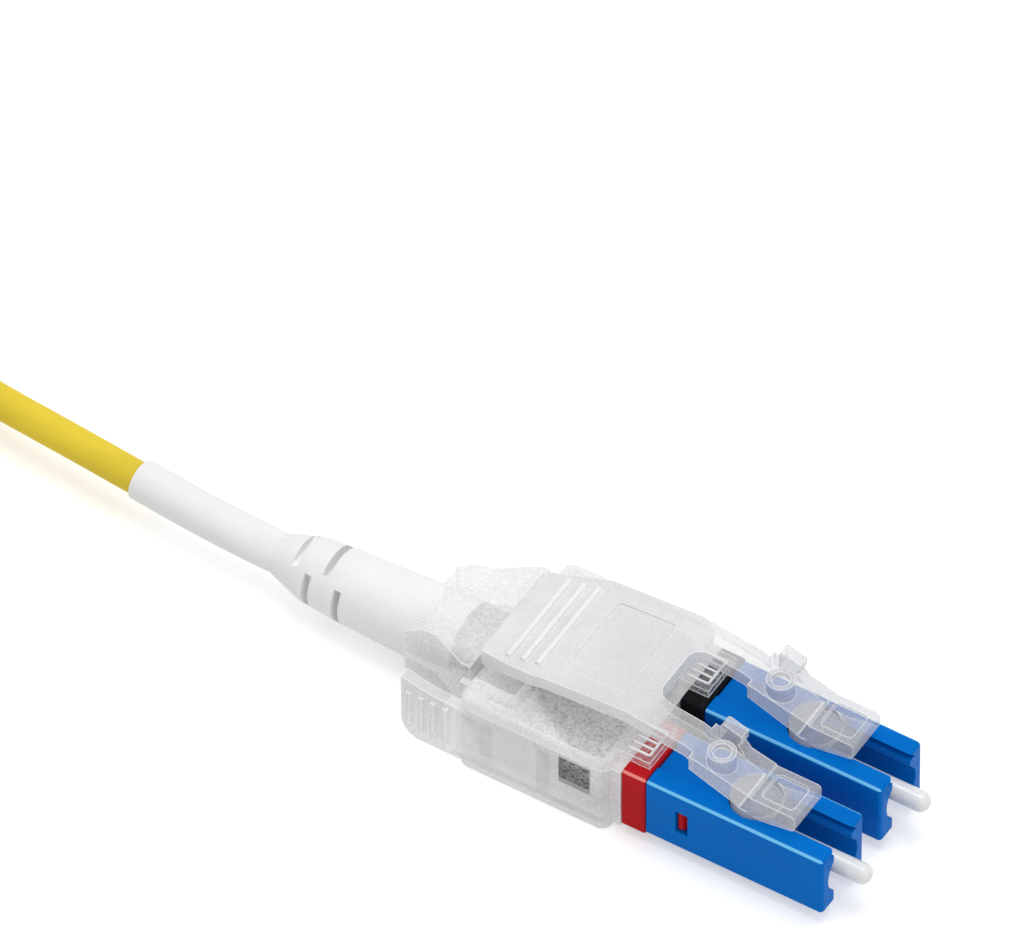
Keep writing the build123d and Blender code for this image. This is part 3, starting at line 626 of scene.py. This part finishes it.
# Pieces
def new_piece(name, shape, body, material):
    """Turns a bmesh into a piece that rides on a body."""
    mesh = bpy.data.meshes.new(name)
    shape.to_mesh(mesh)
    shape.free()
    piece = bpy.data.objects.new(name, mesh)
    bpy.context.scene.collection.objects.link(piece)
    set_finish(piece, material)
    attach(piece, body)
    return piece


def smooth_edges(piece, width, segments=2, angle=HARD_ANGLE):
    """Rounds a piece's hard edges."""
    piece.data.set_sharp_from_angle(angle=angle)
    if width:
        bevel = piece.modifiers.new("Edge rounding", "BEVEL")
        bevel.width = width
        bevel.segments = segments
        bevel.limit_method = "ANGLE"
        bevel.angle_limit = angle
        bevel.use_clamp_overlap = True
    normals = piece.modifiers.new("Flat faces", "WEIGHTED_NORMAL")
    normals.keep_sharp = True
    return piece


def moulded_copy(node, material, width=None, segments=2):
    """A merged copy of a moulded part with rounded edges, which stands for the part."""
    shape = bmesh.new()
    shape.from_mesh(frame["nodes"][node].data)
    bmesh.ops.remove_doubles(shape, verts=shape.verts, dist=MERGE_GAP)
    bmesh.ops.dissolve_limit(
        shape, angle_limit=FLAT_ANGLE, verts=shape.verts, edges=shape.edges
    )
    piece = new_piece(node + "_moulding", shape, BODY_OF[node], material)
    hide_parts(node)
    width = sizes().edge_round if width is None else width
    return smooth_edges(piece, width, segments)


class CONNECTOR_OT_stage(Operator):
    """Add the floor, the lights and the camera"""

    bl_idname = "connector.stage"
    bl_label = "Stage"

    def execute(self, context):
        stage = context.scene.connector_stage
        self.add_floor(stage)
        self.add_sky(stage)
        self.add_lamps(stage)
        self.add_camera(stage)
        context.scene.view_settings.view_transform = "Standard"
        return {"FINISHED"}

    def add_floor(self, stage):
        shape = bmesh.new()
        bmesh.ops.create_grid(shape, x_segments=1, y_segments=1, size=FLOOR_HALF)
        bmesh.ops.translate(shape, verts=shape.verts, vec=(0, 0, -FLOOR_DROP))
        mesh = bpy.data.meshes.new("floor")
        shape.to_mesh(mesh)
        shape.free()
        floor = bpy.data.objects.new("floor", mesh)
        bpy.context.scene.collection.objects.link(floor)
        material, tree, shader = new_finish("Pale floor", colours().floor, ROUGHNESS["floor"])
        shader.inputs["Specular IOR Level"].default_value = 0.0
        shader.inputs["Emission Color"].default_value = (1, 1, 1, 1)
        tree.links.new(self.seen(tree, stage.floor_glow), shader.inputs["Emission Strength"])
        set_finish(floor, material)

    def seen(self, tree, amount):
        """An amount that counts only where the camera, a gloss or clear plastic sees it."""
        path = tree.nodes.new("ShaderNodeLightPath")
        total = path.outputs["Is Camera Ray"]
        for ray in ("Is Glossy Ray", "Is Transmission Ray"):
            node = tree.nodes.new("ShaderNodeMath")
            node.operation = "MAXIMUM"
            tree.links.new(total, node.inputs[0])
            tree.links.new(path.outputs[ray], node.inputs[1])
            total = node.outputs[0]
        scale = tree.nodes.new("ShaderNodeMath")
        scale.operation = "MULTIPLY"
        scale.inputs[1].default_value = amount
        tree.links.new(total, scale.inputs[0])
        return scale.outputs[0]

    def add_sky(self, stage):
        world = bpy.data.worlds.new("Studio")
        bpy.context.scene.world = world
        world.use_nodes = True
        tree = world.node_tree
        tree.nodes.clear()
        output = tree.nodes.new("ShaderNodeOutputWorld")
        even = tree.nodes.new("ShaderNodeBackground")
        even.inputs["Strength"].default_value = stage.sky
        white = tree.nodes.new("ShaderNodeBackground")
        white.inputs["Strength"].default_value = 1.0
        mix = tree.nodes.new("ShaderNodeMixShader")
        tree.links.new(self.seen(tree, 1.0), mix.inputs[0])
        tree.links.new(even.outputs[0], mix.inputs[1])
        tree.links.new(white.outputs[0], mix.inputs[2])
        tree.links.new(mix.outputs[0], output.inputs["Surface"])

    def add_lamps(self, stage):
        for name, place, size, share in LAMPS:
            light = bpy.data.lights.new(name, "AREA")
            light.shape = "DISK"
            light.size = size
            light.energy = stage.key * share
            lamp = bpy.data.objects.new(name, light)
            lamp.location = place
            aim = -Vector(place)
            lamp.rotation_euler = aim.to_track_quat("-Z", "Y").to_euler()
            bpy.context.scene.collection.objects.link(lamp)

    def add_camera(self, stage):
        turn, rise = stage.azimuth, stage.elevation
        back = Vector(
            (
                math.sin(turn) * math.cos(rise),
                -math.cos(turn) * math.cos(rise),
                math.sin(rise),
            )
        )
        data = bpy.data.cameras.new("camera")
        data.lens = stage.lens
        data.sensor_width = 36
        data.clip_start = 0.01
        data.clip_end = 10
        camera = bpy.data.objects.new("camera", data)
        camera.location = TARGET + back * stage.distance
        camera.rotation_mode = "QUATERNION"
        camera.rotation_quaternion = (-back).to_track_quat("-Z", "Y")
        bpy.context.scene.collection.objects.link(camera)
        bpy.context.scene.camera = camera


class CONNECTOR_OT_plugs(Operator):
    """Add the blue plug shells, the coloured bodies behind them and what they hold"""

    bl_idname = "connector.plugs"
    bl_label = "Plugs"

    def execute(self, context):
        paint = colours()
        # The plugs and the collars get painted highlights along their edges
        blue = moulded_finish(
            "Blue plastic", paint.plug, ROUGHNESS["blue"], edge=paint.blue_painted_highlight,
            size=self.width_of("plug_shell_a"),
        )
        red = moulded_finish(
            "Red plastic", paint.red, ROUGHNESS["red"], edge=paint.red_painted_highlight,
            size=self.width_of("rear_body_a"),
        )
        black = moulded_finish(
            "Black plastic", paint.black, ROUGHNESS["black"], edge=paint.black_painted_highlight
        )
        ceramic = moulded_finish(
            "White ceramic", paint.ceramic, ROUGHNESS["ceramic"], gloss_level=CERAMIC_GLOSS
        )
        nickel = metal_finish("Nickel", paint.nickel, ROUGHNESS["nickel"], (1, 6, 6))
        steel = metal_finish("Spring steel", paint.spring, ROUGHNESS["spring"], (8, 1, 1))
        buffer = moulded_finish("Fibre buffer", paint.buffer, ROUGHNESS["buffer"])
        for side in SIDES:
            for end, body_finish, body_slot in (
                ("a", red, "red_body"),
                ("b", black, "black_body"),
            ):
                moulded_copy(f"{side}plug_shell_{end}", blue)
                moulded_copy(f"{side}rear_body_{end}", body_finish)
                moulded_copy(f"{side}ferrule_{end}", ceramic, width=0)
                moulded_copy(f"{side}ferrule_holder_{end}", nickel)
                moulded_copy(f"{side}fibre_{end}", buffer, width=0)
        for end in ENDS:
            set_finish(frame["nodes"][f"spring_{end}"], steel)
        return {"FINISHED"}

    def width_of(self, node):
        low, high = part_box(node)
        return high.y - low.y


class CONNECTOR_OT_housing(Operator):
    """Add the clear shells, the latch cover and the black block inside"""

    bl_idname = "connector.housing"
    bl_label = "Housing"

    def execute(self, context):
        paint = colours()
        roof = clear_finish(
            "Clear roof plastic", paint.clear, ROUGHNESS["roof"], ROOF_HAZE, ROOF_FROST, ROOF_PANELS,
            YOKE_SLANT,
        )
        wall = clear_finish(
            "Clear wall plastic", paint.clear, ROUGHNESS["wall"], WALL_HAZE, WALL_FROST, WALL_PANELS
        )
        # The cover gets painted shade: a darker copy of the clear plastic
        cover = clear_finish(
            "Clear cover plastic", shade(paint.clear, COVER_PAINTED_SHADE), ROUGHNESS["cover"], COVER_HAZE,
            COVER_FROST, COVER_PANELS,
        )
        mark = clear_finish("Raised mark plastic", paint.marks, ROUGHNESS["marks"], MARK_HAZE)
        yoke = self.yoke_finish()
        steel = metal_finish("Drawn ring", paint.ring, ROUGHNESS["ring"], (8, 1, 1))
        for side in SIDES:
            moulded_copy(side + "lower_shell", wall)
            moulded_copy(side + "upper_shell", roof)
            moulded_copy(side + "latch_cover", cover)
            moulded_copy(side + "inner_yoke", yoke)
            moulded_copy(side + "crimp_ring", steel, width=0)
            self.add_marks(side, mark)
        return {"FINISHED"}

    def yoke_finish(self):
        """Black plastic with light grains, which give its look through the roof."""
        paint = colours()
        material = moulded_finish("Black inner plastic", paint.yoke, ROUGHNESS["yoke"])
        tree = material.node_tree
        grains = noise(tree, SPECKLE_LUMPS, 0)
        tint(tree, tree.nodes["Principled BSDF"], grains, (0.0, 0.0, 0.0), paint.speckle)
        return material

    def add_marks(self, side, finish):
        """Raised strips on the two tabs over the collars, as a plain comb."""
        length, width = sizes().mark_length, sizes().mark_width
        strip, teeth = sizes().mark_strip, sizes().mark_teeth
        turn = -1 if side else 1
        for end in ENDS:
            low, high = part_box(f"{side}rear_body_{end}")
            along = FAR_X / 2 + turn * (TAB_X - FAR_X / 2)
            tab = Vector((along, (low.y + high.y) / 2, TAB_TOP))
            strips = [(Vector((turn * (length - strip) / 2, 0, 0)), (strip, width))]
            for tooth in range(teeth):
                across = (tooth / (teeth - 1) - 0.5) * (width - strip)
                strips.append((Vector((0, across, 0)), (length, strip)))
            shape = bmesh.new()
            for centre, (long, wide) in strips:
                made = bmesh.ops.create_cube(shape, size=1)
                bmesh.ops.scale(
                    shape, verts=made["verts"], vec=(long, wide, 2 * sizes().mark_height)
                )
                bmesh.ops.translate(shape, verts=made["verts"], vec=tab + centre)
            marks = new_piece(f"{side}tab_marks_{end}", shape, "connector", finish)
            smooth_edges(marks, sizes().mark_round)


class CONNECTOR_OT_boots(Operator):
    """Add the white boots"""

    bl_idname = "connector.boots"
    bl_label = "Boots"

    def execute(self, context):
        rubber = moulded_finish(
            "White rubber", colours().boot, ROUGHNESS["boot"], RUBBER_DEPTH, RUBBER_LUMPS
        )
        shader = rubber.node_tree.nodes["Principled BSDF"]
        shader.inputs["Sheen Weight"].default_value = 0.1
        for side in SIDES:
            moulded_copy(side + "boot", rubber)
        return {"FINISHED"}


class CONNECTOR_OT_cord(Operator):
    """Add the cable with its wound hank and the strap round it"""

    bl_idname = "connector.cord"
    bl_label = "Cord"

    def execute(self, context):
        jacket = moulded_finish(
            "Yellow jacket", colours().jacket, ROUGHNESS["jacket"], JACKET_DEPTH, JACKET_LUMPS
        )
        low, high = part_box("cable_hank")
        radius = sizes().cable_diameter / 2
        outer = (high.y - low.y) / 2 - radius
        inner = outer - 2 * radius
        near, far = high.x - outer - radius, low.x + outer + radius
        inset = 0.1 * MM
        start = Vector((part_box("crimp_ring")[0].x - inset, 0, AXIS_Z))
        lead = [start] + [Vector(place) * MM for place in LEAD_ROUTE]
        tail = [Vector(place) * MM for place in TAIL_ROUTE]
        # The last points mirror those of the near boot
        tail += [Vector((FAR_X - x * MM, -y * MM, AXIS_Z)) for x, y, _ in LEAD_ROUTE[1::-1]]
        tail.append(Vector((FAR_X - start.x, 0, AXIS_Z)))
        slots = []
        for layer in range(LAYERS):
            height = low.z + radius * (2 * layer + 1)
            pair = (inner, outer) if layer % 2 else (outer, inner)
            slots += [(place, height) for place in pair]
        points = lead + self.wind(slots, near, far) + tail
        curve = bpy.data.curves.new("cord", "CURVE")
        curve.dimensions = "3D"
        spline = curve.splines.new("NURBS")
        spline.points.add(len(points) - 1)
        for point, place in zip(spline.points, points):
            point.co = (*place, 1)
        spline.order_u = 3
        spline.use_endpoint_u = True
        spline.resolution_u = 8
        curve.bevel_depth = radius
        curve.bevel_resolution = 5
        curve.use_fill_caps = True
        cord = bpy.data.objects.new("cord", curve)
        bpy.context.scene.collection.objects.link(cord)
        set_finish(cord, jacket)
        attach(cord, "connector")
        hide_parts("cable_lead", "cable_hank", "cable_end")
        strap = self.add_strap()
        return {"FINISHED"}

    def wind(self, slots, near, far):
        """Control points of the wound turns. Each turn starts along the +Y side and moves to the
        next turn's place in a stretch of its own, so that no two turns move at once."""
        count = sizes().turn_points
        step = math.pi / count
        turns = len(slots) - 1
        points = []
        for turn in range(turns):
            here, after = slots[turn], slots[turn + 1]
            # Places round the loop from the far end's half turn to the middle of the near one
            loop = [("straight", near + (far - near) * f, 1) for f in RUN_SHARES]
            loop += [("far", (k + 0.5) * step, 0) for k in range(count)]
            loop += [("straight", far + (near - far) * f, -1) for f in RUN_SHARES]
            loop += [("near", (k + 0.5) * step, 0) for k in range(count)]
            first_move = len(RUN_SHARES) + 1
            last_move = 2 * len(RUN_SHARES) + count + count // 2
            window = (last_move - first_move) / turns
            begin = first_move + (turns - 1 - turn) * window
            for place, (kind, value, flank) in enumerate(loop):
                share = min(1.0, max(0.0, (place - begin) / window))
                share = share * share * (3 - 2 * share)
                radius = here[0] + (after[0] - here[0]) * share
                height = here[1] + (after[1] - here[1]) * share
                if kind == "straight":
                    points.append(Vector((value, flank * radius, height)))
                    continue
                wide = radius / math.cos(step / 2)
                if kind == "far":
                    x, y = far - wide * math.sin(value), wide * math.cos(value)
                else:
                    x, y = near + wide * math.sin(value), -wide * math.cos(value)
                points.append(Vector((x, y, height)))
        last_radius, last_height = slots[-1]
        for f in RUN_SHARES:
            points.append(Vector((near + (far - near) * f, last_radius, last_height)))
        return points

    def add_strap(self):
        woven, tree, shader = new_finish("Strap fabric", colours().strap, ROUGHNESS["strap"])
        bump(tree, shader, noise(tree, WEAVE_LUMPS), WEAVE_DEPTH)
        shader.inputs["Sheen Weight"].default_value = 0.3
        return moulded_copy("hank_tie", woven)


class CONNECTOR_PT_panel(Panel):
    """Lists the connector's groups of pieces"""

    bl_idname = "CONNECTOR_PT_panel"
    bl_label = "Connector"
    bl_space_type = "VIEW_3D"
    bl_region_type = "UI"
    bl_category = "Connector"

    def draw(self, context):
        for step in STEPS:
            self.layout.operator(step.bl_idname)
        for group in ("connector_sizes", "connector_colours", "connector_stage"):
            settings = getattr(context.scene, group)
            box = self.layout.box()
            for name in settings.bl_rna.properties.keys():
                if name not in {"rna_type", "name"}:
                    box.prop(settings, name)


GROUPS = (ConnectorSizes, ConnectorColours, ConnectorStage)
STEPS = (
    CONNECTOR_OT_stage,
    CONNECTOR_OT_plugs,
    CONNECTOR_OT_housing,
    CONNECTOR_OT_boots,
    CONNECTOR_OT_cord,
)
CLASSES = GROUPS + STEPS + (CONNECTOR_PT_panel,)


def register():
    for cls in CLASSES:
        bpy.utils.register_class(cls)
    bpy.types.Scene.connector_sizes = PointerProperty(type=ConnectorSizes)
    bpy.types.Scene.connector_colours = PointerProperty(type=ConnectorColours)
    bpy.types.Scene.connector_stage = PointerProperty(type=ConnectorStage)


def unregister():
    del bpy.types.Scene.connector_sizes
    del bpy.types.Scene.connector_colours
    del bpy.types.Scene.connector_stage
    for cls in reversed(CLASSES):
        bpy.utils.unregister_class(cls)


def main():
    register()
    bpy.ops.connector.stage()
    bpy.ops.connector.plugs()
    bpy.ops.connector.housing()
    bpy.ops.connector.boots()
    bpy.ops.connector.cord()


if __name__ == "__main__":
    main()
